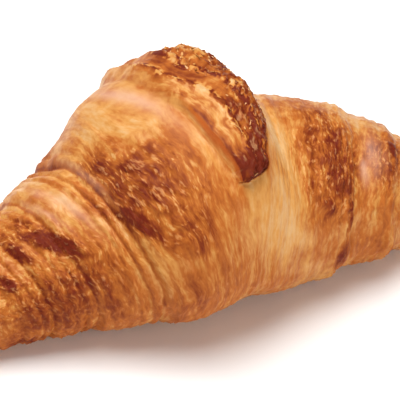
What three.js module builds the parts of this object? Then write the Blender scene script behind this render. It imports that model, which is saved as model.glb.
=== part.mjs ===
// A baked croissant: a triangle of laminated dough rolled up from its base to its point.
// Millimetres. X runs along the roll, the front faces -Y, Z is up and the flat bottom lies on Z = 0.
// The point of the dough comes over the top and ends on the front, where the roll is counted from:
// turn 0 is at the point, turn 1 is one full turn further in, and so on to the core.

import * as THREE from 'three';

// The whole roll
const HALF_LENGTH = 84;
const END_ROUNDING = 7;
const END_RADIUS = 6;
const CORE_RADIUS = 16.2;
const CORE_FULLNESS = 0.95;
const BEND = 11.5;
const WIDENING = 1.12;
const FLATTENING = 2.2;
const FAN = 0.54;

// The swell of the middle, which leans to the left towards the front
const SWELL = 7.4;
const SWELL_AT = 0;
const SWELL_LEAN = 7.3;
const SWELL_REACH_LEFT = 19.6;
const SWELL_REACH_RIGHT = 10.6;
const SWELL_REACH_FRONT = 20.6;

// The layers of dough wound round the core
const TURNS = 6;
const LAYER = 2.8;
const LAYER_THINNING = 0.6;
const SHOULDER = 3;
const ROUNDING = 16;

// The point of the dough and the two edges that wind inwards from it
const POINT_AT = 1;
const POINT_ANGLE = 39;
const POINT_BLUNTNESS = 0.06;
const EDGE_RAGGEDNESS = 0.7;
const LEFT_EDGE = {
  toward: -1,
  blunt: 1.7,
  turn: 18.8,
  shrink: 0.5,
  drift: 5,
  sway: 4.1,
  swayAngle: 2,
  sharp: 0.65,
  flakeReach: 7,
  seed: 3.1,
};
const RIGHT_EDGE = {
  toward: 1,
  blunt: 4.7,
  turn: 28.4,
  shrink: 0.3,
  drift: 4.2,
  sway: 4.8,
  swayAngle: 2,
  sharp: 0.8,
  flakeReach: 13,
  seed: 8.7,
};

// The broken layers along the edges, and the crags and blisters of the crust
const FLAKE_STEP = 2.4;
const FLAKE_HEIGHT = 0.6;
const CRAG_SIZE = 8;
const CRAG_HEIGHT = 0.4;
const BLISTER_SIZE = 4.5;
const BLISTER_HEIGHT = 0.55;

// Fineness of the faceted surface
const ROWS = 52;
const LIP = 0.7;
const BAND_COLUMNS = [8, 5, 3, 3, 2];
const MARGIN_COLUMNS = 9;
const TONGUE_COLUMNS = 6;
const END_COLUMNS = 6;

const radians = THREE.MathUtils.degToRad;
const clamp = THREE.MathUtils.clamp;
const mix = THREE.MathUtils.lerp;
const step = THREE.MathUtils.smoothstep;

// A repeatable random number from 0 to 1 for a point of a whole-number grid
function chance(i, j, k) {
  const s = Math.sin(i * 127.1 + j * 311.7 + k * 74.7) * 43758.5453;
  return s - Math.floor(s);
}

// Smooth noise from -1 to 1
function noise(x, y, z) {
  const i = Math.floor(x);
  const j = Math.floor(y);
  const k = Math.floor(z);
  const a = step(x - i, 0, 1);
  const b = step(y - j, 0, 1);
  const c = step(z - k, 0, 1);
  const along = (m, n) => mix(chance(i, j + m, k + n), chance(i + 1, j + m, k + n), a);
  const sheet = (n) => mix(along(0, n), along(1, n), b);
  return 2 * mix(sheet(0), sheet(1), c) - 1;
}

// A quarter round: 0 at the foot of an edge, 1 where the rounding ends
function quarterRound(distance, width) {
  const s = clamp(distance / width, 0, 1);
  return Math.sqrt(1 - (1 - s) * (1 - s));
}

// Where an edge of the dough lies along the roll after a number of turns from the point
function edge(turn, side) {
  const angle = radians(POINT_ANGLE) + 2 * Math.PI * turn;
  const start = side.blunt * (1 - Math.exp(-turn / POINT_BLUNTNESS));
  const wound = (side.turn * (1 - side.shrink ** turn)) / (1 - side.shrink) + side.drift * turn;
  const sway = side.sway * Math.min(turn, 1) * Math.cos(angle - radians(side.swayAngle));
  const ragged = EDGE_RAGGEDNESS * Math.min(1, 6 * turn) * noise(turn * 17, side.seed, 0.5);
  return POINT_AT + side.toward * (start + wound - sway + ragged);
}

// How thick the layer of dough is after a number of turns from the point
function layer(turn) {
  return LAYER * Math.max(1 - turn / TURNS, 0) ** LAYER_THINNING;
}

// The rise of one layer above the one below it, between its two edges
function rise(u, turn) {
  const left = u - edge(turn, LEFT_EDGE);
  const right = edge(turn, RIGHT_EDGE) - u;
  if (left <= 0 || right <= 0) return 0;
  const shoulder = Math.min(SHOULDER, 0.25 * (left + right));
  const rounding = Math.min(ROUNDING, 0.6 * (left + right));
  const side = (distance, sharp) =>
    sharp * quarterRound(distance, shoulder) + (1 - sharp) * quarterRound(distance, rounding);
  return layer(turn) * side(left, LEFT_EDGE.sharp) * side(right, RIGHT_EDGE.sharp);
}

// The core of the roll, fat in the middle and thin at the ends
function core(u, angle) {
  const spindle = Math.max(1 - (u / HALF_LENGTH) ** 2, 0) ** CORE_FULLNESS;
  const facing = Math.max(Math.cos(angle), 0);
  const at = SWELL_AT - SWELL_LEAN * facing;
  const reach = u < at ? SWELL_REACH_LEFT : mix(SWELL_REACH_RIGHT, SWELL_REACH_FRONT, facing);
  const swell = SWELL * Math.exp(-(((u - at) / reach) ** 2));
  return END_RADIUS + (CORE_RADIUS - END_RADIUS) * spindle + swell;
}

// The mean radius along the roll, which the height of its axis follows
function meanRadius(u) {
  let radius = core(u, Math.PI / 2);
  for (let turn = 0.6; turn < TURNS; turn += 1) {
    const left = 1 / (1 + Math.exp((edge(turn, LEFT_EDGE) - u) / 4));
    const right = 1 / (1 + Math.exp((u - edge(turn, RIGHT_EDGE)) / 4));
    radius += layer(turn) * left * right;
  }
  return radius;
}

// The broken layers along one edge: small treads parallel to it, which fade out inwards
function brokenLayers(u, turn, side) {
  const inside = side.toward * (edge(turn, side) - u);
  if (inside <= 0 || turn < 0) return 0;
  const layers = inside / FLAKE_STEP + 0.5 * noise(turn * 14, u / 20, side.seed);
  const fade = 1 - step(inside, side.flakeReach * 0.5, side.flakeReach);
  const narrow = Math.min(1, turn * 12);
  return FLAKE_HEIGHT * narrow * fade * (0.5 - (layers - Math.floor(layers)));
}

// The relief of the crust: crags, broken layers and the blisters beside the second left edge
function relief(u, angle, turn) {
  const x = u / CRAG_SIZE;
  const y = 4 * Math.cos(angle);
  const z = 4 * Math.sin(angle);
  let height = CRAG_HEIGHT * noise(x, y, z);
  if (turn < 0.6) height += brokenLayers(u, turn, RIGHT_EDGE);
  if (u > edge(turn + 1, LEFT_EDGE) && (turn > 0.6 || u < edge(turn, LEFT_EDGE))) {
    height += brokenLayers(u, turn + 1, LEFT_EDGE);
  }
  const blistered = Math.exp(-(((u - edge(turn + 1, LEFT_EDGE) - 9) / 8) ** 2));
  const scale = CRAG_SIZE / BLISTER_SIZE;
  height += BLISTER_HEIGHT * blistered * Math.abs(noise(x * scale, y * scale, z * scale + 9));
  return height;
}

// The surface of the croissant at a place along the roll and an angle from the front over the top
function surface(u, angle) {
  const wound = (angle - radians(POINT_ANGLE)) / (2 * Math.PI);
  const turn = wound - Math.floor(wound);
  let radius = core(u, angle);
  for (let k = 0; k < TURNS; k += 1) radius += rise(u, turn + k);
  radius += relief(u, angle, turn);
  const closing = clamp((Math.abs(u) - HALF_LENGTH + END_ROUNDING) / END_ROUNDING, 0, 1);
  radius *= Math.sqrt(1 - closing * closing);
  const height = meanRadius(u) / WIDENING - FLATTENING;
  const slope = ((meanRadius(u + 1) - meanRadius(u - 1)) / (2 * WIDENING)) * FAN;
  const upright = Math.hypot(slope, 1);
  const up = Math.sin(angle);
  const above = (up + Math.hypot(up, 0.2)) / 2;
  return new THREE.Vector3(
    u - (slope * above * radius) / (WIDENING * upright),
    -BEND * (u / HALF_LENGTH) ** 2 - radius * WIDENING * Math.cos(angle),
    Math.max(0, height + (radius * up) / (WIDENING * upright)),
  );
}

// Places between two ends, the ends left out
function between(from, to, count) {
  return Array.from({ length: count }, (_, i) => mix(from, to, (i + 1) / (count + 1)));
}

// The places along the roll where a row has its corners: on the foot and the lip of each edge, and
// evenly between them. Turns are counted through from the bottom, so that each edge keeps its column.
function rowPlaces(wound) {
  const lineAt = (k, side) => {
    const turn = wound + k;
    if (turn >= 0) return edge(turn, side) + side.toward * 0.6 * Math.max(0, 1 - turn * 12);
    return POINT_AT + side.toward * (0.6 - 26 * turn);
  };
  const half = (side) => {
    const places = [];
    BAND_COLUMNS.forEach((count, k) => {
      const foot = lineAt(k, side);
      const nextLip = lineAt(k + 1, side) - side.toward * LIP;
      places.push(foot, ...between(foot, nextLip, count), nextLip);
    });
    const last = lineAt(BAND_COLUMNS.length, side);
    const end = side.toward * HALF_LENGTH;
    places.push(last);
    for (let i = 1; i <= END_COLUMNS; i += 1) {
      const s = Math.sin((0.5 * Math.PI * i) / (END_COLUMNS + 1));
      places.push(mix(last, end, mix(i / (END_COLUMNS + 1), s, 0.6)));
    }
    return places;
  };
  const left = lineAt(0, LEFT_EDGE);
  const right = lineAt(0, RIGHT_EDGE);
  const width = right - left;
  const lip = Math.min(LIP, width / 8);
  const margin = Math.min(RIGHT_EDGE.flakeReach, width * 0.55);
  return [
    ...half(LEFT_EDGE).reverse(),
    left + lip,
    ...between(left + lip, right - margin, TONGUE_COLUMNS),
    ...between(right - margin, right - lip, MARGIN_COLUMNS),
    right - lip,
    ...half(RIGHT_EDGE),
  ];
}

// The closed surface: rows around the roll, columns along it and one corner at each end, with the
// origin under the middle of its bounding box
function croissantGeometry() {
  const corners = [];
  const firstRow = -Math.floor((POINT_ANGLE + 90) / (360 / ROWS));
  let columns = 0;
  for (let row = 0; row < ROWS; row += 1) {
    const wound = (firstRow + row) / ROWS;
    const angle = radians(POINT_ANGLE) + 2 * Math.PI * wound;
    const places = rowPlaces(wound);
    columns = places.length;
    places.forEach((u) => corners.push(...surface(u, angle).toArray()));
  }
  const leftEnd = ROWS * columns;
  const rightEnd = leftEnd + 1;
  corners.push(...surface(-HALF_LENGTH, 0).toArray(), ...surface(HALF_LENGTH, 0).toArray());
  const faces = [];
  for (let row = 0; row < ROWS; row += 1) {
    const here = row * columns;
    const next = ((row + 1) % ROWS) * columns;
    faces.push(leftEnd, here, next);
    faces.push(rightEnd, next + columns - 1, here + columns - 1);
    for (let i = 0; i + 1 < columns; i += 1) {
      faces.push(here + i, here + i + 1, next + i + 1);
      faces.push(here + i, next + i + 1, next + i);
    }
  }
  const geometry = new THREE.BufferGeometry();
  geometry.setAttribute('position', new THREE.Float32BufferAttribute(corners, 3));
  geometry.setIndex(faces);
  geometry.computeBoundingBox();
  const middle = geometry.boundingBox.getCenter(new THREE.Vector3());
  geometry.translate(-middle.x, -middle.y, 0);
  geometry.computeVertexNormals();
  return geometry;
}

const crust = new THREE.MeshStandardMaterial({ color: '#cf8740', roughness: 0.5, metalness: 0 });
const croissant = new THREE.Mesh(croissantGeometry(), crust);
croissant.name = 'croissant';

const group = new THREE.Group();
group.add(croissant);

export default group;
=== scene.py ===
import math

import bpy
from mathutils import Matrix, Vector


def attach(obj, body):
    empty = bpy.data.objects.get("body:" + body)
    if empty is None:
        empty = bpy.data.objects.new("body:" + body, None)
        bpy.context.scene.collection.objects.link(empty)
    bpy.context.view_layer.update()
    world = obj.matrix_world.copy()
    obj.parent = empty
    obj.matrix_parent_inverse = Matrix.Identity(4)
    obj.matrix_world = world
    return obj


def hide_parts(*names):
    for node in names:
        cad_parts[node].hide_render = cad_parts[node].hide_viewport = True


bl_info = {
    "name": "Butter croissant",
    "version": (1, 0, 0),
    "blender": (4, 5, 0),
    "location": "3D View > Sidebar > Croissant",
    "description": "A baked croissant rolled from layered dough, with its torn layers and flakes",
    "category": "Add Mesh",
}

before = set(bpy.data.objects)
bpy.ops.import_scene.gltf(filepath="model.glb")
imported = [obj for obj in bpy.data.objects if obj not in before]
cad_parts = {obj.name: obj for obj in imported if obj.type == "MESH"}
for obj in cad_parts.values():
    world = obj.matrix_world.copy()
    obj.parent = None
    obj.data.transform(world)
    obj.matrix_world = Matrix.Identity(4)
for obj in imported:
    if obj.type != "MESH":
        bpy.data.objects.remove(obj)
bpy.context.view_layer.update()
MM = 0.001

# Driving sizes of the roll, in millimetres, with the strength of its relief
SIZES = {
    "Half length": 84.0,
    "Core radius": 16.2,
    "Swell": 7.4,
    "Layer thickness": 2.8,
    "Raggedness": 0.7,
    "Relief": 1.0,
}
CORE_SIZES = ("Half length", "Core radius", "Swell")

# The roll, in millimetres, as in the solid: the swell of the middle leans left towards the front
END_ROUNDING = 7.0
END_RADIUS = 6.0
CORE_FULLNESS = 0.95
BEND = 11.5
WIDENING = 1.12
FLATTENING = 2.2
FAN = 0.54
SWELL_AT = 0.0
SWELL_LEAN = 7.3
SWELL_REACH_LEFT = 19.6
SWELL_REACH_RIGHT = 10.6
SWELL_REACH_FRONT = 20.6
TURNS = 6
LAYER_THINNING = 0.6
SHOULDER = 3.0
ROUNDING = 16.0
FOOT = 1.3
MIDDLE_DEPTH = 1.05

# The point of the dough ends on the front, at this place along the roll and this angle over the front
POINT_AT = 1.0
POINT_ANGLE = 39.0
POINT_BLUNTNESS = 0.06
LEFT_EDGE = {
    "toward": -1,
    "blunt": 1.7,
    "turn": 18.8,
    "shrink": 0.5,
    "drift": 5.0,
    "sway": 4.1,
    "lean": 14.0,
    "tip": 0.0,
    "first sharp": 0.12,
    "sharp": 0.55,
    "seed": 3.1,
}
RIGHT_EDGE = {
    "toward": 1,
    "blunt": 4.7,
    "turn": 28.4,
    "shrink": 0.3,
    "drift": 4.2,
    "sway": 4.8,
    "lean": 18.0,
    "tip": 2.0,
    "first sharp": 0.85,
    "sharp": 0.35,
    "seed": 8.7,
}
EDGES = {"left": LEFT_EDGE, "right": RIGHT_EDGE}
SWAY_ANGLE = 2.0

# How far the edges wander, in millimetres, the part of a turn from the point that looks like the last
# turn, and a gap where no edge is near
RAGGED_REACH = 3.0
LAST_TURN_SHARE = 0.62
FAR_FROM_EDGES = 99.0

# Radius at which patterns are laid round the roll, in millimetres
DOUGH_RADIUS = 27.0

# Fineness of the crust: quads along the roll and around it, closest together in the middle of the roll
# and on the side of the camera, and the distance in metres within which points are joined
COLUMNS = 400
ROWS = 246
COLUMN_SPREAD = 0.3
ROW_SPREAD = 0.4
FACING_ANGLE = 70.0
MERGE_DISTANCE = 0.00001

# Flakes, with their length, width and thickness in millimetres
FLAKE_SIZES = {"Flakes per square centimetre": 20.0, "Length": 1.5, "Width": 0.42}
FLAKE_THICKNESS = 0.09
FLAKE_SEED = 7
SQUARE_CENTIMETRES = 10000.0

# Places of the crust, browned, dark, pale or with a painted sheen: what each is, place along the roll, angle,
# reach along and around, lean along the roll in millimetres for each degree, and strength
BROWNED_AND_LOW_SHADE = (
    ("tail of the third fold", -31.5, 32.0, 2.5, 12.0, -0.15, 0.45),
    ("above the third fold", -43.5, 87.0, 2.5, 8.0, -0.12, 0.6),
    # The places called low darken the lower sides: partly browning, partly painted shade where the lower
    # front turns from the lights
    ("left end, low", -54.0, -5.0, 6.0, 30.0, 0.0, 0.5),
    ("left end, lowest", -50.0, -30.0, 7.0, 12.0, 0.0, 0.7),
    ("low, under the third turn", -38.0, -15.0, 2.2, 14.0, 0.0, 0.5),
    ("second turn, low", -33.0, 10.0, 9.0, 35.0, 0.0, 0.25),
    ("left side, low", -41.0, 8.0, 21.0, 50.0, 0.0, 0.62),
    ("front, low", -14.0, -8.0, 30.0, 26.0, 0.0, 0.4),
    ("third turn, high", -47.0, 84.0, 6.0, 16.0, -0.15, 0.5),
    ("first turn, low", -12.0, -5.0, 14.0, 26.0, 0.0, 0.38),
    ("right side, low", 38.0, 0.0, 14.0, 35.0, 0.0, 0.25),
    ("before the second edge", -25.0, 56.0, 1.6, 14.0, -0.13, 0.45),
    ("on the second edge, high", -25.0, 84.0, 2.2, 9.0, -0.12, 0.62),
    ("first turn", -15.0, 55.0, 9.5, 34.0, -0.16, 0.66),
    ("first turn, upper", -15.5, 68.0, 4.5, 12.0, -0.1, 0.7),
    ("first turn, at the second edge", -21.0, 77.0, 3.2, 12.0, -0.15, 0.75),
    ("first turn, middle", -11.5, 54.0, 3.8, 12.0, -0.1, 0.62),
    ("first turn, lower", -11.0, 25.0, 6.0, 14.0, -0.1, 0.6),
    ("low streak", -10.5, -8.0, 1.6, 9.0, 0.0, 0.45),
    ("second low streak", -7.0, -8.0, 1.1, 8.0, 0.0, 0.4),
    ("right band", 29.5, 56.0, 9.0, 40.0, 0.1, 0.74),
    ("beside the right edge", 31.5, 22.0, 1.8, 18.0, 0.08, 0.8),
    ("right band, darkest", 34.0, 77.0, 3.0, 10.0, 0.12, 0.95),
    ("right band, middle", 30.0, 60.0, 3.2, 12.0, 0.1, 0.75),
    ("right band, at its edge", 36.0, 54.0, 1.5, 6.0, 0.1, 0.75),
    ("right band, high", 33.0, 94.0, 3.5, 6.0, 0.1, 0.5),
    ("right band, low", 27.0, 27.0, 5.0, 20.0, 0.08, 0.58),
    ("beyond the right edge", 45.0, 60.0, 5.0, 28.0, 0.1, 0.55),
    ("second right edge", 49.0, 72.0, 2.0, 11.0, 0.12, 0.75),
    ("back, left of the middle", -30.0, 170.0, 12.0, 25.0, -0.1, 0.5),
    ("back, right of the middle", 36.0, 165.0, 9.0, 28.0, 0.1, 0.55),
    ("back, middle", 2.0, 172.0, 9.0, 26.0, 0.0, 0.45),
)
# Dark folds: browning in the folds, with painted shade in the creases and under the overhanging edges
DARK_FOLDS_AND_SHADE = (
    ("fold of the third turn", -38.9, 60.0, 2.6, 23.0, -0.26, 1.4),
    ("fold of the fourth turn", -46.7, 68.0, 1.5, 16.0, -0.12, 1.0),
    ("fold of the fifth turn", -51.5, 50.0, 2.0, 12.0, -0.13, 1.1),
    ("under the second edge", -18.6, 42.0, 2.4, 14.0, -0.25, 1.25),
    ("low beside the right edge", 29.5, -8.0, 1.7, 17.0, 0.05, 0.9),
)
PALE = (
    ("last turn, at its left", -5.5, 104.0, 4.0, 12.0, -0.1, 0.22),
    ("gold on the first turn", -12.5, 86.0, 3.0, 7.0, -0.15, 1.0),
    ("first turn, high", -14.0, 104.0, 9.0, 16.0, -0.14, 0.8),
    ("second turn, golden", -30.0, 72.0, 2.2, 9.0, -0.12, 0.6),
    ("under the point", 10.0, 20.0, 9.0, 24.0, 0.0, 0.9),
    ("streak under the point", 8.0, 10.0, 1.2, 10.0, 0.0, 0.8),
    ("right of the point", 14.0, 70.0, 6.5, 24.0, 0.0, 1.15),
    ("gold above the first turn", -9.5, 78.0, 3.0, 6.0, -0.15, 0.8),
    ("beyond the right edge, high", 44.0, 100.0, 5.0, 12.0, 0.1, 0.6),
)
# Painted sheen: pinkish highlights of the softboxes on the egg glaze, mixed into the crust's colour
PAINTED_SHEEN = (
    ("along the first turn", -9.0, 100.0, 1.4, 26.0, -0.165, 1.1),
    ("along the second turn", -33.5, 82.0, 1.3, 24.0, -0.165, 0.95),
    ("beside it", -38.0, 84.0, 0.8, 20.0, -0.165, 0.5),
    ("on the second edge", -25.6, 84.0, 0.7, 18.0, -0.13, 0.6),
    ("on the right band", 38.8, 52.0, 1.3, 9.0, 0.1, 0.95),
    ("beyond the right band", 42.5, 64.0, 2.4, 18.0, 0.1, 0.6),
)

# Where the roll is a little fuller or thinner: place along the roll, angle, reach along and around,
# and rise in millimetres
SWELLINGS = (
    (-18.0, 126.0, 6.0, 24.0, 1.6),
    (-11.0, 130.0, 4.0, 24.0, 0.6),
    (-5.0, 132.0, 4.0, 16.0, -1.3),
    (-30.3, 126.0, 2.8, 20.0, -1.3),
    (32.0, -14.0, 2.0, 18.0, 1.7),
    (7.0, -14.0, 7.0, 16.0, 1.1),
    (44.5, -10.0, 2.5, 18.0, 1.5),
    (-16.0, -6.0, 20.0, 18.0, 0.8),
)
# Notches and rises of the last turn alone, given the same way
NOTCHES = (
    (9.0, 84.0, 3.0, 9.0, -1.5),
    (8.0, 102.0, 4.0, 9.0, -1.6),
    (1.5, 111.0, 4.5, 12.0, 2.2),
    (5.0, 87.0, 3.0, 7.0, 1.7),
)
# Ledges of the last turn: millimetres from its left edge to the foot, the top and the end of each, its
# drop as a share of its rise, and its rise
LEDGES = (
    (4.0, 4.7, 5.3, 1.8, 0.6),
    (7.6, 8.5, 9.3, 2.0, 0.5),
)
# Soft spots of the last turn: place along the roll, angle, and reach along and around
TORN_CREST = (5.5, 113.0, 7.0, 13.0)
DARK_POINT = (3.2, 44.0, 3.4, 8.0)


class Value:
    """A number socket of a node tree: arithmetic on it adds Math nodes."""

    def __init__(self, tree, socket):
        self.tree = tree
        self.socket = socket

    def __add__(self, other):
        return self.tree.math("ADD", self, other)

    def __sub__(self, other):
        return self.tree.math("SUBTRACT", self, other)

    def __mul__(self, other):
        return self.tree.math("MULTIPLY", self, other)

    def __truediv__(self, other):
        return self.tree.math("DIVIDE", self, other)

    def __pow__(self, other):
        return self.tree.math("POWER", self, other)

    def __radd__(self, other):
        return self.tree.math("ADD", other, self)

    def __rsub__(self, other):
        return self.tree.math("SUBTRACT", other, self)

    def __rmul__(self, other):
        return self.tree.math("MULTIPLY", other, self)

    def __rtruediv__(self, other):
        return self.tree.math("DIVIDE", other, self)

    def __rpow__(self, other):
        return self.tree.math("POWER", other, self)

    def __neg__(self):
        return self.tree.math("MULTIPLY", self, -1.0)

    def __gt__(self, other):
        return self.tree.math("GREATER_THAN", self, other)

    def __lt__(self, other):
        return self.tree.math("LESS_THAN", self, other)


class Tree:
    """Builds a node tree: nodes by type, settings and sockets, numbers as Python expressions."""

    def __init__(self, tree):
        self.tree = tree

    def node(self, kind, settings=None, sockets=None):
        made = self.tree.nodes.new(kind)
        for name, value in (settings or {}).items():
            if name == "stops":
                self.lay_stops(made.color_ramp, value)
            else:
                setattr(made, name, value)
        for key, value in (sockets or {}).items():
            self.feed(made.inputs[key], value)
        return made

    def lay_stops(self, ramp, stops):
        while len(ramp.elements) < len(stops):
            ramp.elements.new(0.5)
        for element, (place, colour) in zip(ramp.elements, stops):
            element.position = place
            element.color = (*colour, 1.0)

    def feed(self, socket, value):
        if isinstance(value, Value):
            value = value.socket
        if isinstance(value, bpy.types.NodeSocket):
            self.tree.links.new(value, socket)
        else:
            socket.default_value = value

    def value(self, node, output=0):
        return Value(self, node.outputs[output])

    def capture(self, geometry, fields):
        """Works out fields once and keeps them on the geometry's points."""
        node = self.node("GeometryNodeCaptureAttribute", {"domain": "POINT"}, {"Geometry": geometry})
        for name, value in fields.items():
            kind = "FLOAT" if isinstance(value, Value) else "VECTOR"
            node.capture_items.new(kind, name)
            self.feed(node.inputs[name], value)
        kept = {}
        for name, value in fields.items():
            socket = node.outputs[name]
            kept[name] = Value(self, socket) if isinstance(value, Value) else socket
        return node.outputs["Geometry"], kept

    def math(self, operation, *values, clamp=False):
        sockets = dict(enumerate(values))
        return self.value(self.node("ShaderNodeMath", {"operation": operation, "use_clamp": clamp}, sockets))

    def mix(self, start, end, share):
        return start + (end - start) * share

    def clamp(self, value):
        return self.math("ADD", value, 0.0, clamp=True)

    def maximum(self, a, b):
        return self.math("MAXIMUM", a, b)

    def minimum(self, a, b):
        return self.math("MINIMUM", a, b)

    def smooth(self, value, low, high):
        node = self.node("ShaderNodeMapRange", {"interpolation_type": "SMOOTHSTEP"})
        for key, item in zip((0, 1, 2, 3, 4), (value, low, high, 0.0, 1.0)):
            self.feed(node.inputs[key], item)
        return self.value(node)

    def bell(self, value, middle, reach):
        return self.math("EXPONENT", -(((value - middle) / reach) ** 2.0))

    def vector(self, x, y, z):
        return self.node("ShaderNodeCombineXYZ", None, {"X": x, "Y": y, "Z": z}).outputs[0]

    def split(self, vector):
        node = self.node("ShaderNodeSeparateXYZ", None, {0: vector})
        return tuple(self.value(node, axis) for axis in range(3))

    def vector_math(self, operation, *values):
        return self.node("ShaderNodeVectorMath", {"operation": operation}, dict(enumerate(values))).outputs[0]

    def noise(self, vector, size=1.0, detail=2.0, rough=0.5):
        sockets = {"Vector": vector, "Scale": 1.0 / size, "Detail": detail, "Roughness": rough}
        return self.value(self.node("ShaderNodeTexNoise", None, sockets))

    def cells(self, vector, size):
        sockets = {"Vector": vector, "Scale": 1.0 / size}
        return self.value(self.node("ShaderNodeTexVoronoi", {"feature": "SMOOTH_F1"}, sockets), "Distance")


def geometry_tree(name, inputs, outputs=(), ground=None):
    """A Geometry Nodes tree with named number inputs; without outputs it gives a geometry."""
    tree = bpy.data.node_groups.new(name, "GeometryNodeTree")
    if ground:
        tree.interface.new_socket(ground, in_out="INPUT", socket_type="NodeSocketGeometry")
    for label in outputs:
        tree.interface.new_socket(label, in_out="OUTPUT", socket_type="NodeSocketFloat")
    if not outputs:
        tree.interface.new_socket("Geometry", in_out="OUTPUT", socket_type="NodeSocketGeometry")
    for label, default in inputs.items():
        kind = "NodeSocketInt" if isinstance(default, int) else "NodeSocketFloat"
        tree.interface.new_socket(label, in_out="INPUT", socket_type=kind).default_value = default
    make = Tree(tree)
    given = make.node("NodeGroupInput")
    named = {label: Value(make, given.outputs[label]) for label in inputs}
    if ground:
        named[ground] = given.outputs[ground]
    return tree, make, named


def use_group(make, tree, inputs):
    """A node group in another tree: its outputs by name."""
    node = make.node("GeometryNodeGroup", {"node_tree": tree}, inputs)
    return {socket.name: Value(make, socket) for socket in node.outputs}


def edge_numbers(turn, side):
    """Where an edge of the dough lies along the roll, for a plain number of turns from the point."""
    wound = side["turn"] * (1 - side["shrink"] ** turn) / (1 - side["shrink"]) + side["drift"] * turn
    start = side["blunt"] * (1 - math.exp(-turn / POINT_BLUNTNESS))
    angle = 2 * math.pi * turn + math.radians(POINT_ANGLE - SWAY_ANGLE)
    sway = side["sway"] * min(turn, 1) * math.cos(angle)
    return POINT_AT + side["toward"] * (start + wound - sway)


def edge_group(name, side):
    """A group that gives an edge's place along the roll for the number of turns from the point."""
    tree, make, given = geometry_tree(name, {"Turn": 0.0, "Raggedness": 0.0}, ("Place",))
    turn = given["Turn"]
    wound = (1.0 - side["shrink"] ** turn) * (side["turn"] / (1 - side["shrink"])) + turn * side["drift"]
    start = (1.0 - make.math("EXPONENT", turn * (-1 / POINT_BLUNTNESS))) * side["blunt"]
    start = start + make.bell(turn, 0.02, 0.02) * side["tip"]
    angle = turn * (2 * math.pi) + math.radians(POINT_ANGLE - SWAY_ANGLE)
    sway = make.math("COSINE", angle) * make.minimum(turn, 1.0) * side["sway"]
    at = make.vector(turn * 17.0, side["seed"], 0.5)
    ragged = (make.noise(at, 1.0, 4.0, 0.65) - 0.5) * make.minimum(turn * 6.0, 1.0)
    ragged = ragged * given["Raggedness"] * RAGGED_REACH
    place = (start + wound - sway + ragged) * side["toward"] + POINT_AT
    make.node("NodeGroupOutput", None, {0: place})
    return tree


def inside_edge(make, groups, name, u, turn, raggedness):
    """How far a place along the roll lies inside an edge of the dough, in millimetres."""
    place = use_group(make, groups[name], {"Turn": turn, "Raggedness": raggedness})["Place"]
    return (u - place) * -EDGES[name]["toward"]


def shoulder(make, distance, sharp, near, far):
    """The profile of a layer's edge: a steep shoulder and a long rounding behind it."""
    parts = []
    for width in (near, far):
        left = 1.0 - make.clamp(distance / width)
        parts.append(make.math("SQRT", make.maximum(1.0 - left * left, 0.0)))
    foot = make.smooth(distance, 0.0, FOOT)
    return (parts[0] * sharp + parts[1] * (1.0 - sharp)) * foot


def layer_group(edges_of_dough):
    """A group that lays one more turn of dough on the roll, where that turn reaches."""
    inputs = dict.fromkeys(("Radius", "Along", "Turn", "Layer thickness", "Raggedness"), 0.0)
    inputs["Right gap"] = FAR_FROM_EDGES
    tree, make, given = geometry_tree("Turn of dough", inputs, ("Radius", "Right gap"))
    turn, u = given["Turn"], given["Along"]
    ends = {}
    for name, side in EDGES.items():
        gap = inside_edge(make, edges_of_dough, name, u, turn, given["Raggedness"])
        sharp = make.mix(side["first sharp"], side["sharp"], turn > 0.8)
        if name == "left":
            sharp = sharp + make.bell(turn, 0.0, 0.09) * 0.45
        ends[name] = gap, sharp
    width = make.maximum(ends["left"][0] + ends["right"][0], 0.01)
    near, far = make.minimum(width * 0.25, SHOULDER), make.minimum(width * 0.6, ROUNDING)
    inside = (ends["left"][0] > 0.0) * (ends["right"][0] > 0.0)
    rise = make.maximum(1.0 - turn / TURNS, 0.0) ** LAYER_THINNING * given["Layer thickness"] * inside
    for gap, sharp in ends.values():
        rise = rise * shoulder(make, gap, sharp, near, far)
    right_gap = make.mix(given["Right gap"], ends["right"][0], inside)
    make.node("NodeGroupOutput", None, {0: given["Radius"] + rise, 1: right_gap})
    return tree


def core_group():
    """A group for the core of the roll, fat in the middle and thin at the ends."""
    inputs = {"Along": 0.0, "Facing": 0.0, **{name: SIZES[name] for name in CORE_SIZES}}
    tree, make, given = geometry_tree("Core of the roll", inputs, ("Radius",))
    u, facing = given["Along"], given["Facing"]
    share = u / given["Half length"]
    spindle = make.maximum(1.0 - share * share, 0.0) ** CORE_FULLNESS
    at = facing * -SWELL_LEAN + SWELL_AT
    right = make.mix(SWELL_REACH_RIGHT, SWELL_REACH_FRONT, facing)
    reach = make.mix(right, SWELL_REACH_LEFT, u < at)
    off = (u - at) / reach
    swell = make.math("EXPONENT", -(off * off)) * given["Swell"]
    radius = (given["Core radius"] - END_RADIUS) * spindle + END_RADIUS + swell
    make.node("NodeGroupOutput", None, {0: radius})
    return tree


def mean_group(core):
    """A group for the mean radius along the roll, which the height of its axis follows."""
    inputs = {"Along": 0.0, **{name: SIZES[name] for name in (*CORE_SIZES, "Layer thickness")}}
    tree, make, given = geometry_tree("Mean radius", inputs, ("Radius",))
    u = given["Along"]
    core_sizes = {name: given[name] for name in CORE_SIZES}
    radius = use_group(make, core, {"Along": u, "Facing": 0.0, **core_sizes})["Radius"]
    for turn in (0.6 + k for k in range(TURNS)):
        left = 1.0 / (1.0 + make.math("EXPONENT", (edge_numbers(turn, LEFT_EDGE) - u) / 4.0))
        right = 1.0 / (1.0 + make.math("EXPONENT", (u - edge_numbers(turn, RIGHT_EDGE)) / 4.0))
        thin = max(1 - turn / TURNS, 0) ** LAYER_THINNING
        radius = radius + left * right * (given["Layer thickness"] * thin)
    make.node("NodeGroupOutput", None, {0: radius})
    return tree


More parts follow.
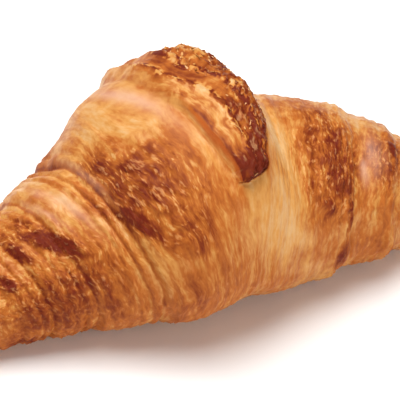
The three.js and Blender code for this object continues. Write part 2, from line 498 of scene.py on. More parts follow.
def place_group():
    """A group for one soft-edged place on the crust, kept where it is stronger than those so far."""
    names = ("So far", "Along", "Angle", "Middle", "Middle angle", "Lean", "Strength")
    inputs = {**dict.fromkeys(names, 0.0), "Reach along": 1.0, "Reach around": 1.0}
    tree, make, given = geometry_tree("Place on the crust", inputs, ("Strength",))
    off = given["Angle"] - given["Middle angle"]
    across = (given["Along"] - given["Middle"] - off * given["Lean"]) / given["Reach along"]
    down = off / given["Reach around"]
    soft = make.math("EXPONENT", -(across * across + down * down)) * given["Strength"]
    make.node("NodeGroupOutput", None, {0: make.maximum(given["So far"], soft)})
    return tree


def strongest_place(make, group, places, u, angle):
    """The strongest of a list of places at each point of the crust."""
    so_far = 0.0
    for _, middle, degrees, along, around, lean, strength in places:
        values = {
            "So far": so_far,
            "Along": u,
            "Angle": angle,
            "Middle": middle,
            "Middle angle": math.radians(degrees),
            "Reach along": along,
            "Reach around": math.radians(around),
            "Lean": math.degrees(lean),
            "Strength": strength,
        }
        so_far = use_group(make, group, values)["Strength"]
    return so_far


def soft_spot(make, spot, u, angle):
    """One in the middle of a spot of the crust, and less and less around it."""
    middle, degrees, along, around = spot
    return make.bell(u, middle, along) * make.bell(angle, math.radians(degrees), math.radians(around))


def rises(make, spots, u, angle):
    """The sum of a list of soft spots, each with its own rise."""
    total = 0.0
    for *spot, rise in spots:
        total = soft_spot(make, spot, u, angle) * rise + total
    return total


def saw(make, value):
    """Steps: up sharply, then evenly down, about zero."""
    part = make.math("FRACT", value)
    return part - make.smooth(part, 0.82, 1.0) - 0.4


def crust_tree():
    """The rolled dough as a node tree: a grid laid over the roll and lifted by every layer."""
    tree, make, sizes = geometry_tree("Rolled croissant", {**SIZES, "Columns": COLUMNS, "Rows": ROWS})
    edges_of_dough = {name: edge_group(f"{name.title()} edge of the dough", EDGES[name]) for name in EDGES}
    core, layer, place = core_group(), layer_group(edges_of_dough), place_group()
    mean = mean_group(core)
    counts = {"Vertices X": sizes["Columns"] + 1.0, "Vertices Y": sizes["Rows"] + 1.0}
    grid = make.node("GeometryNodeMeshGrid", None, {"Size X": 1.0, "Size Y": 1.0, **counts})
    flat = make.split(make.node("GeometryNodeInputPosition").outputs[0])
    share = flat[0] * 2.0
    round_ = flat[1] * (2 * math.pi)
    angle = round_ - make.math("SINE", round_) * ROW_SPREAD + math.radians(FACING_ANGLE)
    spread = share + share * share * share * COLUMN_SPREAD
    geometry, kept = make.capture(
        grid.outputs["Mesh"],
        {
            "u": spread * (1 / (1 + COLUMN_SPREAD)) * sizes["Half length"],
            "angle": angle,
            "turn": make.math("FRACT", (angle - math.radians(POINT_ANGLE)) / (2 * math.pi)),
            "front": make.math("COSINE", angle),
            "up": make.math("SINE", angle),
        },
    )
    u, angle, turn, front, up = (kept[name] for name in ("u", "angle", "turn", "front", "up"))

    # The layers, from the core outwards, with how far inside its right edge the outermost one is here
    core_sizes = {name: sizes[name] for name in CORE_SIZES}
    facing = make.maximum(front, 0.0)
    laid = use_group(make, core, {"Along": u, "Facing": facing, **core_sizes})
    for k in reversed(range(TURNS)):
        given = {name: sizes[name] for name in ("Layer thickness", "Raggedness")}
        laid = use_group(make, layer, {**laid, **given, "Along": u, "Turn": turn + float(k)})
    geometry, laid = make.capture(geometry, laid)
    radius, right_gap = laid["Radius"], laid["Right gap"]

    # Places on the sheet of dough: lines of equal place follow its edges
    side = make.smooth(u, -12.0, 16.0)
    wound = angle / (2 * math.pi) - POINT_ANGLE / 360
    leftwards = front * -LEFT_EDGE["sway"] + wound * LEFT_EDGE["lean"]
    rightwards = front * RIGHT_EDGE["sway"] - wound * RIGHT_EDGE["lean"]
    line = u + make.mix(leftwards, rightwards, side)
    dough = make.vector(line, front * DOUGH_RADIUS, up * DOUGH_RADIUS)
    raggedness = sizes["Raggedness"]
    point = {name: inside_edge(make, edges_of_dough, name, u, turn, raggedness) for name in EDGES}
    turns = [wound + number for number in (1.0, 2.0, 3.0)]
    folds = [inside_edge(make, edges_of_dough, "left", u, number, raggedness) for number in turns]
    last = make.smooth(point["left"], -0.5, 0.4) * make.smooth(point["right"], -0.5, 0.4)
    last = last * (turn < LAST_TURN_SHARE)
    fields = {"line": line, "dough": dough, "last": last, "lip": point["left"], "folds": make.vector(*folds)}
    geometry, kept = make.capture(geometry, fields)
    line, dough, last, lip, folds = (kept[name] for name in ("line", "dough", "last", "lip", "folds"))

    # Strips of the last turn, side by side from its cut left edge to its torn right side
    high = make.smooth(angle, math.radians(75), math.radians(100))
    strip = lip / make.clamp((lip + right_gap) / 8.0) + high * 2.6
    stretched = make.vector(front * DOUGH_RADIUS, up * DOUGH_RADIUS, line * 0.3)
    ragged = (make.noise(stretched, 2.2, 3.0, 0.6) - 0.5) * 1.6
    narrow = 1.0 - make.smooth(angle, math.radians(55), math.radians(80))
    strip = strip + ragged * make.smooth(strip, 1.0, 3.0) + make.maximum(strip - 1.5, 0.0) * narrow * 0.5
    side_from = 4.8 + make.smooth(angle, math.radians(68), math.radians(88)) * 3.0
    torn = make.smooth(strip - side_from, -0.5, 0.5) * (1.0 - make.smooth(right_gap, 13.0, 18.0)) * last
    behind_crest = make.smooth(angle, math.radians(112), math.radians(135))
    torn = torn * (1.0 - behind_crest * make.smooth(right_gap, 1.0, 3.0))
    crest = soft_spot(make, TORN_CREST, u, angle) * last
    crest = make.smooth(crest + make.noise(dough, 4.0, 2.0) * 0.6, 0.6, 0.8)
    warped_u = u + (make.noise(dough, 5.0, 2.0, 0.5) - 0.5) * 6.0
    shifted = make.vector_math("ADD", dough, (40.0, 7.0, 3.0))
    warped_angle = angle + (make.noise(shifted, 6.0, 2.0, 0.5) - 0.5) * 0.45
    near_u, near_angle = u + (warped_u - u) * 0.3, angle + (warped_angle - angle) * 0.3
    tip = soft_spot(make, DARK_POINT, u, angle) * last * 1.6
    # The dark folds and the dark point, browning with painted shade in the creases, join the browning below
    dark = make.maximum(strongest_place(make, place, DARK_FOLDS_AND_SHADE, near_u, near_angle), tip)
    # The browning is kept together with painted shade: that of the low places and of the dark folds
    geometry, kept = make.capture(
        geometry,
        {
            "glossy": strongest_place(make, place, PAINTED_SHEEN, near_u, near_angle),
            "torn": make.maximum(torn, crest),
            "strip": strip,
            "browned": make.maximum(strongest_place(make, place, BROWNED_AND_LOW_SHADE, warped_u, warped_angle), dark),
            "pale": strongest_place(make, place, PALE, warped_u, warped_angle),
        },
    )
    names = ("torn", "browned", "pale", "glossy", "strip")
    torn, browned, pale, glossy, strip = (kept[name] for name in names)

    # Relief: crags, treads along the edges, streaks, blisters on browned places, ledges of the torn face
    calm = 1.0 - torn
    crags = (make.noise(dough, 10.0, 2.0) - 0.5) * 1.6
    wander = make.noise(make.vector(line / 12.0, front * 1.1, up * 1.1), 1.0, 2.0) * 1.8
    earlier = 1.0 - last
    near_right = (1.0 - make.smooth(right_gap, 3.0, 9.0)) * earlier
    edges = saw(make, right_gap * -0.45 + wander) * near_right * 0.6
    pleats = (make.noise(make.vector(line / 2.1, front * 1.2, up * 1.2), 1.0, 2.0, 0.5) - 0.5) * 1.2
    for fold in make.split(folds):
        near = make.smooth(fold, -12.0, -1.5) * (1.0 - make.smooth(fold, 2.0, 3.5)) * earlier
        edges = edges + saw(make, fold * -0.38 + wander) * near * 0.9
    fine = make.noise(make.vector(line / 0.9, front * 5.0, up * 5.0), 1.0, 2.0) - 0.5
    streak_relief = (pleats + fine * 0.4) * calm
    pimples = 1.0 - make.smooth(make.cells(dough, 3.4), 0.05, 0.6)
    upper = make.smooth(up, 0.0, 0.6) * 0.6 + 0.4
    blisters = pimples * make.smooth(browned, 0.25, 0.7) * make.noise(dough, 5.0, 1.0) * upper
    flaky = (make.noise(make.vector(line / 1.4, front * 13.0, up * 13.0), 1.0, 3.0, 0.65) - 0.5) * 1.2
    flaky = flaky * make.smooth(browned, 0.15, 0.6) * upper
    rag = make.noise(make.vector(strip / 1.1, front * 12.0, up * 12.0), 1.0, 3.0, 0.7)
    ledges = saw(make, strip * 0.55 + rag * 2.0) * 1.3 + (rag - 0.5) * 1.6
    lips = make.smooth(strip, 0.0, 1.3) - make.smooth(strip, 4.0, 15.0)
    for foot, top, end, drop, rise in LEDGES:
        lips = lips + (make.smooth(strip, foot, top) - make.smooth(strip, top, end) * drop) * rise
    notches, fuller = rises(make, NOTCHES, u, angle), rises(make, SWELLINGS, u, angle)
    rough = crags + edges + streak_relief + blisters + flaky + ledges * torn
    relief = (rough * sizes["Relief"] + (lips + notches) * last + fuller) * make.smooth(up, -0.93, -0.7)
    geometry, kept = make.capture(geometry, {"relief": relief})
    relief = kept["relief"]
    radius = radius + relief

    closing = make.clamp((make.math("ABSOLUTE", u) - sizes["Half length"] + END_ROUNDING) / END_ROUNDING)
    radius = radius * make.math("SQRT", make.maximum(1.0 - closing * closing, 0.0))

    # The axis of the roll and the rings, fanned so that they stand square to it on top
    here, ahead, behind = (
        use_group(
            make, mean, {"Along": u + shift, "Layer thickness": sizes["Layer thickness"], **core_sizes}
        )["Radius"]
        for shift in (0.0, 1.0, -1.0)
    )
    height = here / WIDENING - FLATTENING
    slope = (ahead - behind) * (FAN / (2 * WIDENING))
    upright = make.math("SQRT", slope * slope + 1.0)
    above = (up + make.math("SQRT", up * up + 0.04)) * 0.5
    reach = u / sizes["Half length"]
    x = u - slope * above * radius / (upright * WIDENING)
    y = reach * reach * -BEND - radius * front * WIDENING - MIDDLE_DEPTH
    z = make.maximum(height + radius * up / (upright * WIDENING), 0.0)

    stored = {
        "dough": dough,
        "browned": browned,
        "pale": pale,
        "glossy": glossy,
        "torn": torn,
        "folds": folds,
        "relief": relief,
        "last": last,
        "strip": strip,
    }
    for name, value in stored.items():
        kind = "FLOAT" if isinstance(value, Value) else "FLOAT_VECTOR"
        settings = {"data_type": kind, "domain": "POINT"}
        sockets = {"Geometry": geometry, "Name": name, "Value": value}
        geometry = make.node("GeometryNodeStoreNamedAttribute", settings, sockets).outputs[0]
    spot = make.vector(x * MM, y * MM, z * MM)
    moved = make.node("GeometryNodeSetPosition", None, {"Geometry": geometry, "Position": spot})
    sockets = {"Geometry": moved.outputs[0], "Distance": MERGE_DISTANCE}
    closed = make.node("GeometryNodeMergeByDistance", None, sockets)
    smooth = make.node("GeometryNodeSetShadeSmooth", None, {"Geometry": closed.outputs[0]})
    whole = make.node("GeometryNodeRealizeInstances", None, {"Geometry": smooth.outputs[0]})
    crust = bpy.data.materials["Crust"]
    coat = make.node("GeometryNodeSetMaterial", None, {"Geometry": whole.outputs[0], "Material": crust})
    make.node("NodeGroupOutput", None, {0: coat.outputs[0]})
    return tree


def shape_from_tree(name, tree, values, ground=None):
    """Runs a Geometry Nodes tree, on an empty mesh or a copy of another piece's, and keeps a plain mesh."""
    piece = bpy.data.objects.new(name, ground.data.copy() if ground else bpy.data.meshes.new(name))
    bpy.context.collection.objects.link(piece)
    nodes = piece.modifiers.new(tree.name, "NODES")
    nodes.node_group = tree
    for item in tree.interface.items_tree:
        if item.item_type == "SOCKET" and item.in_out == "INPUT" and item.name in values:
            nodes[item.identifier] = values[item.name]
    evaluated = piece.evaluated_get(bpy.context.evaluated_depsgraph_get())
    mesh = bpy.data.meshes.new_from_object(evaluated)
    piece.modifiers.remove(nodes)
    spare = piece.data
    piece.data = mesh
    bpy.data.meshes.remove(spare)
    mesh.name = name
    return piece


def fresh_material(name):
    """An empty node material, cleared of its nodes."""
    material = bpy.data.materials.get(name) or bpy.data.materials.new(name)
    material.use_nodes = True
    material.node_tree.nodes.clear()
    return material, Tree(material.node_tree)


def attribute(make, name, output="Fac"):
    """A named attribute of the surface."""
    node = make.node("ShaderNodeAttribute", {"attribute_type": "GEOMETRY", "attribute_name": name})
    return node.outputs[output]


def browning(make, share, colours, places):
    """The named colours, each at its place on a ramp, for a share from nought to one."""
    stops = tuple((place, colours[name]) for name, place in places.items())
    return make.node("ShaderNodeValToRGB", {"stops": stops}, {0: share}).outputs[0]


def shade_material(make, sockets):
    """A material's shader with its sockets, joined to the output."""
    shader = make.node("ShaderNodeBsdfPrincipled", None, sockets)
    make.node("ShaderNodeOutputMaterial", None, {"Surface": shader.outputs[0]})


def crust_material(colours):
    """Browned crust: pale dough to dark brown, streaked along the dough's edges, with a thin egg glaze, a
    painted sheen of the softboxes and painted shade in its hollows and folds.
    """
    material, make = fresh_material("Crust")
    dough = attribute(make, "dough", "Vector")
    folds = make.split(attribute(make, "folds", "Vector"))
    names = ("browned", "pale", "glossy", "torn", "relief", "last", "strip")
    browned, pale, glossy, torn, relief, last, strip = (Value(make, attribute(make, n)) for n in names)
    forward, upward = (value / DOUGH_RADIUS for value in make.split(dough)[1:])
    high, low = make.smooth(upward, 0.94, 0.985), 1.0 - make.smooth(upward, 0.05, 0.6)
    facing = make.smooth(forward, -0.65, -0.35)
    earlier = 1.0 - last

    broad = make.noise(dough, 13.0, 2.0) - 0.5
    patchy = make.noise(dough, 5.0, 3.0, 0.6) - 0.5
    waves = make.node("ShaderNodeTexNoise", None, {"Vector": dough, "Scale": 0.15, "Detail": 1.5})
    warped = make.vector_math("MULTIPLY_ADD", waves.outputs["Color"], (3.0, 3.0, 3.0), dough)
    line, front, up = make.split(warped)

    def grain(place, across, along, detail=3.0, shift=0.0):
        at = make.vector(place / across + shift, front / along, up / along)
        return make.noise(at, 1.0, detail, 0.55) - 0.5

    pleats = grain(line, 2.4, 22.0, 1.0)
    streaks = grain(line, 1.6, 8.0)
    dashes = grain(line, 0.7, 2.4, 2.0)
    blotches = grain(line, 2.6, 4.6, 3.0, 30.0)
    flecks = grain(line, 0.8, 2.2, 2.0, 60.0) + 0.5
    layers = grain(strip, 0.8, 11.0, 3.0, 90.0)

    rough_skin = make.clamp(browned * 1.4 + torn) * (1.0 - low * 0.5)
    spots = make.smooth(browned + blotches * (1.2 - low * 0.6), 0.25, 0.8)
    streaky = 1.0 - pale * 0.75
    mottle = broad * 0.35 + patchy * 0.4 + (pleats * 0.5 + streaks * 0.45) * streaky + dashes * 0.35
    brown = 0.38 + mottle * (1.0 - low * 0.2)
    brown = brown + (dashes * 0.6 + blotches * 0.4 + streaks * 0.4) * rough_skin
    brown = brown + browned * 0.58 + spots * (0.04 + browned * 0.12) - pale * 0.26
    # Lighter flecks on the rough skin: lifted papery skin, partly painted glints of the lights
    brown = brown - make.smooth(flecks, 0.5, 0.66) * rough_skin * 0.28
    layered = (layers * 0.9 + dashes * 0.5 + 0.12) * last * make.smooth(strip, 1.2, 1.8) * facing
    brown = brown + layered * (1.0 - pale * 1.5)
    for fold in folds:
        # Stripes beside each outer edge follow the treads: the layers' lines, with painted shade in the
        # grooves and painted light on the ridges
        outside = make.smooth(fold, -12.0, -2.0) * (1.0 - make.smooth(fold, -0.3, 0.3))
        stripes = make.math("FRACT", fold * 0.36 + pleats * 0.5)
        stripes = stripes - make.smooth(stripes, 0.75, 1.0) - 0.35
        brown = brown - stripes * outside * earlier * 0.3
        # Painted shade: a dark line at the foot of each outer edge, where the crease lies
        brown = brown + make.bell(fold, 0.2, 0.35) * earlier * (1.0 - low) * 0.25
    # The torn side is darker: its own browning, with painted shade of a face turned from the light, a touch
    # less on the crest's top
    brown = brown + torn * (0.29 + (flecks - 0.5) * 0.9 + (1.0 - high) * 0.04)
    # Painted shade: darker in the hollows of the relief, most on the torn side
    brown = brown + make.clamp(relief * -0.8) * (0.1 + torn * 0.2)
    brown = brown + last * make.smooth(strip, 4.6, 5.2) * (1.0 - torn) * facing * 0.18
    cut = last * make.smooth(strip, -0.1, 0.3) * (1.0 - make.smooth(strip, 1.1, 1.4))
    cut = cut * (1.0 - torn) * (1.0 - high)
    # Dark dashes along the two ledges of the last turn: torn seams, with painted shade in the ledges'
    # grooves, and a few lighter dashes
    seams_and_groove_shade = make.maximum(make.bell(strip, 5.0, 0.7), make.bell(strip, 8.2, 0.6)) * last * facing
    seams_and_groove_shade = seams_and_groove_shade * (make.smooth(flecks, 0.42, 0.56) * 1.1 - 0.35)
    brown = make.mix(brown, 0.5 + layers * 1.4 + dashes * 0.4, cut) + seams_and_groove_shade * 0.75
    brown = brown + last * make.bell(strip, 1.6, 0.4) * (1.0 - high) * (0.35 + streaks)
    deep = make.smooth(browned + blotches * 0.5 + dashes * 0.3, 0.5, 1.4)
    brown = make.mix(brown, 0.95 + dashes * 0.5, deep * (0.9 - low * 0.6))
    places = {"pale": 0.0, "golden": 0.28, "amber": 0.52, "brown": 0.78, "dark": 1.0}
    colour = browning(make, brown, colours, places)
    # Flecks mixed toward the flake colour: lifted papery skin, partly painted glints
    lifted_skin_and_glints = make.smooth(flecks, 0.56, 0.7) * make.smooth(browned + torn * 0.7, 0.15, 0.5) * 0.3
    lifted_skin_and_glints = lifted_skin_and_glints * (1.0 - deep) * (1.0 - low * 0.7)
    # The glaze skin is a painted sheen, pinkish where the softboxes would glint; the coat weight below is the
    # real glaze
    skins = {"cut": cut * (0.5 + layers * 1.5), "flake": lifted_skin_and_glints, "glaze_and_painted_sheen": glossy * (0.55 + pleats)}
    for skin, share in skins.items():
        colour = make.node(
            "ShaderNodeMix",
            {"data_type": "RGBA", "clamp_factor": True},
            {0: share, 6: colour, 7: (*colours[skin], 1.0)},
        ).outputs[2]
    bumps = (pleats * 0.6 + streaks * 0.4) * streaky + (dashes * 0.5 + blotches + flecks * 0.6) * rough_skin
    bumps = bumps + layers * last * facing * 0.8
    bump = make.node("ShaderNodeBump", None, {"Strength": 0.7, "Distance": 0.0008, "Height": bumps})
    rough = 0.48 + blotches * 0.2 + rough_skin * 0.08 - cut * 0.1
    glaze_and_painted_sheen = make.clamp(0.7 - brown * 1.3 + pleats * 0.5 - rough_skin * 0.2 - broad * 0.5)
    sockets = {
        "Base Color": colour,
        "Roughness": rough,
        "Specular IOR Level": 0.12,
        "Coat Weight": glaze_and_painted_sheen,
        "Coat Roughness": 0.3,
        "Normal": bump.outputs[0],
    }
    shade_material(make, sockets)
    return material


def plain_material(name, colour, roughness):
    """A matt material for the stage."""
    material, make = fresh_material(name)
    shade_material(make, {"Base Color": (*colour, 1.0), "Roughness": roughness, "Specular IOR Level": 0.0})
    return material


def flake_tree():
    """Thin curled shards of skin, scattered over the torn parts of the crust they are given."""
    sizes = {**FLAKE_SIZES, "Seed": FLAKE_SEED}
    tree, make, given = geometry_tree("Flakes on the crust", sizes, ground="Crust")

    def named(label, kind="FLOAT"):
        return make.node("GeometryNodeInputNamedAttribute", {"data_type": kind}, {"Name": label}).outputs[0]

    def scattered(low, high, seed):
        node = make.node("FunctionNodeRandomValue", {"data_type": "FLOAT"}, {2: low, 3: high, 8: seed})
        return make.value(node, 1)

    torn = Value(make, named("torn"))
    front, up = (value / DOUGH_RADIUS for value in make.split(named("dough", "FLOAT_VECTOR"))[1:])
    crest = make.smooth(front, -0.1, -0.35) * (up > 0.6)
    ragged = torn * (make.smooth(up, 0.8, 0.96) * 0.65 + 0.35 + crest) * (up > -0.4)
    density = ragged * given["Flakes per square centimetre"] * SQUARE_CENTIMETRES
    points = make.node(
        "GeometryNodeDistributePointsOnFaces",
        {"distribute_method": "RANDOM"},
        {"Mesh": given["Crust"], "Density": density, "Seed": given["Seed"]},
    )
    normal = points.outputs["Normal"]
    along = make.vector_math("CROSS_PRODUCT", make.vector(1.0, -0.2, 0.0), normal)
    facing = make.node(
        "FunctionNodeAxesToRotation",
        {"primary_axis": "Z", "secondary_axis": "X"},
        {"Primary Axis": normal, "Secondary Axis": along},
    ).outputs[0]
    lift = make.vector(scattered(-0.35, 0.35, 11), scattered(-0.3, 0.3, 12), scattered(-0.6, 0.6, 13))
    turned = make.node(
        "FunctionNodeRotateRotation", {"rotation_space": "LOCAL"}, {"Rotation": facing, "Rotate By": lift}
    ).outputs[0]
    counts = {"Vertices X": 5, "Vertices Y": 3, "Vertices Z": 2}
    shard = make.node("GeometryNodeMeshCube", None, {"Size": (1.0, 1.0, 1.0), **counts})
    x, y, z = make.split(make.node("GeometryNodeInputPosition").outputs[0])
    curled = make.vector(x, y * (1.0 - x * x * 2.4), z + x * x * 2.2)
    shard = make.node("GeometryNodeSetPosition", None, {"Geometry": shard.outputs[0], "Position": curled})
    size = scattered(0.5, 1.5, 14)
    width = size * given["Width"] * MM * scattered(0.6, 1.6, 15)
    thin = make.vector(size * given["Length"] * MM, width, FLAKE_THICKNESS * MM)
    store = make.node(
        "GeometryNodeStoreNamedAttribute",
        {"data_type": "FLOAT", "domain": "POINT"},
        {"Geometry": points.outputs["Points"], "Name": "shade", "Value": scattered(0.0, 1.0, 16)},
    )
    laid = make.node(
        "GeometryNodeInstanceOnPoints",
        None,
        {"Points": store.outputs[0], "Instance": shard.outputs[0], "Rotation": turned, "Scale": thin},
    )
    whole = make.node("GeometryNodeRealizeInstances", None, {"Geometry": laid.outputs[0]})
    smooth = make.node("GeometryNodeSetShadeSmooth", None, {"Geometry": whole.outputs[0]})
    skin = bpy.data.materials["Flakes"]
    coat = make.node("GeometryNodeSetMaterial", None, {"Geometry": smooth.outputs[0], "Material": skin})
    make.node("NodeGroupOutput", None, {0: coat.outputs[0]})
    return tree


def flake_material(colours):
    """Papery flakes, each one somewhere between cream and brown."""
    material, make = fresh_material("Flakes")
    behind = make.smooth(make.split(attribute(make, "dough", "Vector"))[1] / -DOUGH_RADIUS, 0.0, 0.35)
    shade = Value(make, attribute(make, "shade")) * (1.0 - behind * 0.7)
    colour = browning(make, shade, colours, {"flake": 0.0, "golden": 0.25, "amber": 0.5, "dark": 1.0})
    sockets = {"Base Color": colour, "Roughness": 0.5, "Specular IOR Level": 0.3, "Coat Weight": 0.15}
    shade_material(make, sockets)
    return material


class CroissantSizes(bpy.types.PropertyGroup):
    """Sizes of the croissant, in millimetres."""

    half_length: bpy.props.FloatProperty(
        name="Half length", description="Middle to either end", default=SIZES["Half length"]
    )
    core_radius: bpy.props.FloatProperty(
        name="Core radius", description="Rolled core at the middle", default=SIZES["Core radius"]
    )
    swell: bpy.props.FloatProperty(
        name="Swell", description="Extra radius of the middle", default=SIZES["Swell"]
    )
    layer: bpy.props.FloatProperty(
        name="Layer", description="Thickness of the last turn of dough", default=SIZES["Layer thickness"]
    )
    raggedness: bpy.props.FloatProperty(
        name="Raggedness", description="Wander of the dough's edges", default=SIZES["Raggedness"]
    )
    relief: bpy.props.FloatProperty(
        name="Relief", description="Strength of crags and blisters", default=SIZES["Relief"]
    )
    flakes: bpy.props.FloatProperty(
        name="Flakes",
        description="Flakes per square centimetre",
        default=FLAKE_SIZES["Flakes per square centimetre"],
    )
    flake_length: bpy.props.FloatProperty(
        name="Flake length", description="Mean length of a flake", default=FLAKE_SIZES["Length"]
    )


class CroissantColours(bpy.types.PropertyGroup):
    """Colours of the crust, from the palest dough to the darkest browning."""

    pale: bpy.props.FloatVectorProperty(
        name="Pale", description="Palest dough", subtype="COLOR", size=3, default=(0.67, 0.42, 0.19)
    )
    golden: bpy.props.FloatVectorProperty(
        name="Golden", description="Lightly baked crust", subtype="COLOR", size=3, default=(0.6, 0.27, 0.063)
    )
    amber: bpy.props.FloatVectorProperty(
        name="Amber", description="Well baked crust", subtype="COLOR", size=3, default=(0.43, 0.118, 0.017)
    )
    brown: bpy.props.FloatVectorProperty(
        name="Brown", description="Browned crust", subtype="COLOR", size=3, default=(0.24, 0.045, 0.006)
    )
    dark: bpy.props.FloatVectorProperty(
        name="Dark", description="Darkest browning", subtype="COLOR", size=3, default=(0.145, 0.0145, 0.003)
    )
    cut: bpy.props.FloatVectorProperty(
        name="Cut", description="Edge of the last turn", subtype="COLOR", size=3, default=(0.56, 0.12, 0.018)
    )
    # The glaze colour is the painted sheen's: pinkish highlights of the softboxes
    glaze_and_painted_sheen: bpy.props.FloatVectorProperty(
        name="Glaze", description="Thick egg glaze", subtype="COLOR", size=3, default=(0.68, 0.39, 0.28)
    )
    # The flake colour serves the real flakes and the crust's painted glints
    flake: bpy.props.FloatVectorProperty(
        name="Flake", description="Lifted papery skin", subtype="COLOR", size=3, default=(0.76, 0.42, 0.19)
    )


class MESH_OT_croissant_crust(bpy.types.Operator):
    """Make the rolled croissant itself, with its crust"""

    bl_idname = "mesh.croissant_crust"
    bl_label = "Croissant crust"

    def execute(self, context):
        sizes, colours = context.scene.croissant_sizes, context.scene.croissant_colours
        names = ("pale", "golden", "amber", "brown", "dark", "flake", "cut", "glaze_and_painted_sheen")
        crust_material({name: tuple(getattr(colours, name)) for name in names})
        values = {
            "Half length": sizes.half_length,
            "Core radius": sizes.core_radius,
            "Swell": sizes.swell,
            "Layer thickness": sizes.layer,
            "Raggedness": sizes.raggedness,
            "Relief": sizes.relief,
        }
        crust = shape_from_tree("crust", crust_tree(), values)
        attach(crust, "root")
        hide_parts("croissant")
        return {"FINISHED"}


class MESH_OT_croissant_flakes(bpy.types.Operator):
    """Scatter thin flakes of skin over the torn parts of the crust"""

    bl_idname = "mesh.croissant_flakes"
    bl_label = "Croissant flakes"

    def execute(self, context):
        sizes, colours = context.scene.croissant_sizes, context.scene.croissant_colours
        crust = bpy.data.objects.get("crust")
        if crust is None:
            raise RuntimeError("The crust is made before its flakes")
        names = ("golden", "amber", "dark", "flake")
        flake_material({name: tuple(getattr(colours, name)) for name in names})
        values = {"Flakes per square centimetre": sizes.flakes, "Length": sizes.flake_length}
        flakes = shape_from_tree("flakes", flake_tree(), values, crust)
        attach(flakes, "root")
        return {"FINISHED"}


# The camera, at the photograph's viewing angle: turned about the upright axis, raised, and far away
CAMERA_TURN = 21.66
CAMERA_RAISE = 37.66
CAMERA_DISTANCE = 0.6
CAMERA_LENS = 216.0
AIM = Vector((0.0, -0.00105, 0.03))
AIM_RIGHT = 0.0024
AIM_DOWN = 0.0066
SENSOR_WIDTH = 36.0
NEAREST_SEEN = 0.01

# The floor, in metres, a little below the croissant, and the brightness of the room
FLOOR_HALF_WIDTH = 3.0
FLOOR_DROP = 0.0002
FLOOR_COLOUR = (0.94, 0.94, 0.94)
FLOOR_ROUGHNESS = 0.9
ROOM_COLOUR = (1.0, 1.0, 1.0, 1.0)
ROOM_STRENGTH = 0.3

# Softboxes: name, place and aim in metres, width in metres, power in watts, and colour
LIGHTS = (
    ("Softbox overhead", (-0.06, 0.01, 0.88), (0.0, 0.0, 0.02), 0.74, 9.2, (1.0, 0.99, 0.97)),
    ("Softbox behind left", (-0.3, 0.4, 0.72), (0.0, 0.0, 0.03), 0.4, 1.7, (1.0, 0.99, 0.97)),
    ("Fill from the front", (0.25, -0.95, 0.3), (0.0, 0.0, 0.03), 0.8, 4.0, (1.0, 0.98, 0.95)),
)


def camera_axes():
    """Unit vectors from the croissant to the camera, to the picture's right and up in the picture."""
    turn, raise_ = math.radians(CAMERA_TURN), math.radians(CAMERA_RAISE)
    back = Vector((-math.sin(turn) * math.cos(raise_), -math.cos(turn) * math.cos(raise_), math.sin(raise_)))
    right = Vector((math.cos(turn), -math.sin(turn), 0.0))
    return back, right, back.cross(right)


def add_camera():
    """The camera, without depth of field or shift."""
    back, right, up = camera_axes()
    data = bpy.data.cameras.new("Camera")
    data.lens = CAMERA_LENS
    data.sensor_width = SENSOR_WIDTH
    data.clip_start = NEAREST_SEEN
    camera = bpy.data.objects.new("Camera", data)
    camera.location = AIM + right * AIM_RIGHT - up * AIM_DOWN + back * CAMERA_DISTANCE
    camera.rotation_euler = back.to_track_quat("Z", "Y").to_euler()
    bpy.context.collection.objects.link(camera)
    bpy.context.scene.camera = camera


def add_light(name, place, aim, width, power, colour):
    """A square softbox, aimed at a point."""
    data = bpy.data.lights.new(name, "AREA")
    data.shape = "SQUARE"
    data.size = width
    data.energy = power
    data.color = colour
    light = bpy.data.objects.new(name, data)
    light.location = place
    light.rotation_euler = (Vector(place) - Vector(aim)).to_track_quat("Z", "Y").to_euler()
    bpy.context.collection.objects.link(light)


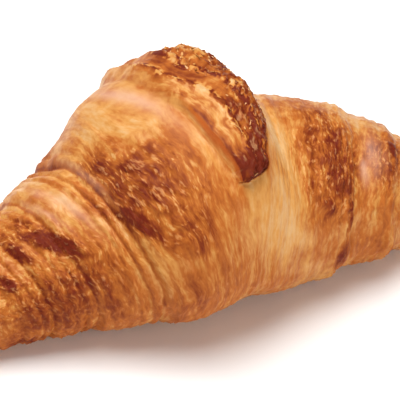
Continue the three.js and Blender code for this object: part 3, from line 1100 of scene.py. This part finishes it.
class SCENE_OT_croissant_stage(bpy.types.Operator):
    """Make the white floor, the soft lights and the camera"""

    bl_idname = "scene.croissant_stage"
    bl_label = "Stage for the croissant"

    def execute(self, context):
        mesh = bpy.data.meshes.new("floor")
        half = FLOOR_HALF_WIDTH
        corners = [(-half, -half, 0.0), (half, -half, 0.0), (half, half, 0.0), (-half, half, 0.0)]
        mesh.from_pydata(corners, [], [(0, 1, 2, 3)])
        floor = bpy.data.objects.new("floor", mesh)
        floor.location.z = -FLOOR_DROP
        context.collection.objects.link(floor)
        mesh.materials.append(plain_material("White table", FLOOR_COLOUR, FLOOR_ROUGHNESS))
        world = bpy.data.worlds.new("Studio")
        context.scene.world = world
        world.use_nodes = True
        background = world.node_tree.nodes["Background"]
        background.inputs["Color"].default_value = ROOM_COLOUR
        background.inputs["Strength"].default_value = ROOM_STRENGTH
        for light in LIGHTS:
            add_light(*light)
        add_camera()
        context.scene.view_settings.view_transform = "Standard"
        context.scene.view_settings.look = "None"
        return {"FINISHED"}


class VIEW3D_PT_croissant(bpy.types.Panel):
    """The croissant's pieces"""

    bl_label = "Croissant"
    bl_space_type = "VIEW_3D"
    bl_region_type = "UI"
    bl_category = "Croissant"

    def draw(self, context):
        for group in (context.scene.croissant_sizes, context.scene.croissant_colours):
            for name in group.bl_rna.properties.keys():
                if name not in ("rna_type", "name"):
                    self.layout.prop(group, name)
        for operator in OPERATORS:
            self.layout.operator(operator.bl_idname)


OPERATORS = (MESH_OT_croissant_crust, MESH_OT_croissant_flakes, SCENE_OT_croissant_stage)
CLASSES = (CroissantSizes, CroissantColours, *OPERATORS, VIEW3D_PT_croissant)


def register():
    for item in CLASSES:
        bpy.utils.register_class(item)
    bpy.types.Scene.croissant_sizes = bpy.props.PointerProperty(type=CroissantSizes)
    bpy.types.Scene.croissant_colours = bpy.props.PointerProperty(type=CroissantColours)


def unregister():
    del bpy.types.Scene.croissant_colours
    del bpy.types.Scene.croissant_sizes
    for item in reversed(CLASSES):
        bpy.utils.unregister_class(item)


def main():
    register()
    bpy.ops.mesh.croissant_crust()
    bpy.ops.mesh.croissant_flakes()
    bpy.ops.scene.croissant_stage()


if __name__ == "__main__":
    main()
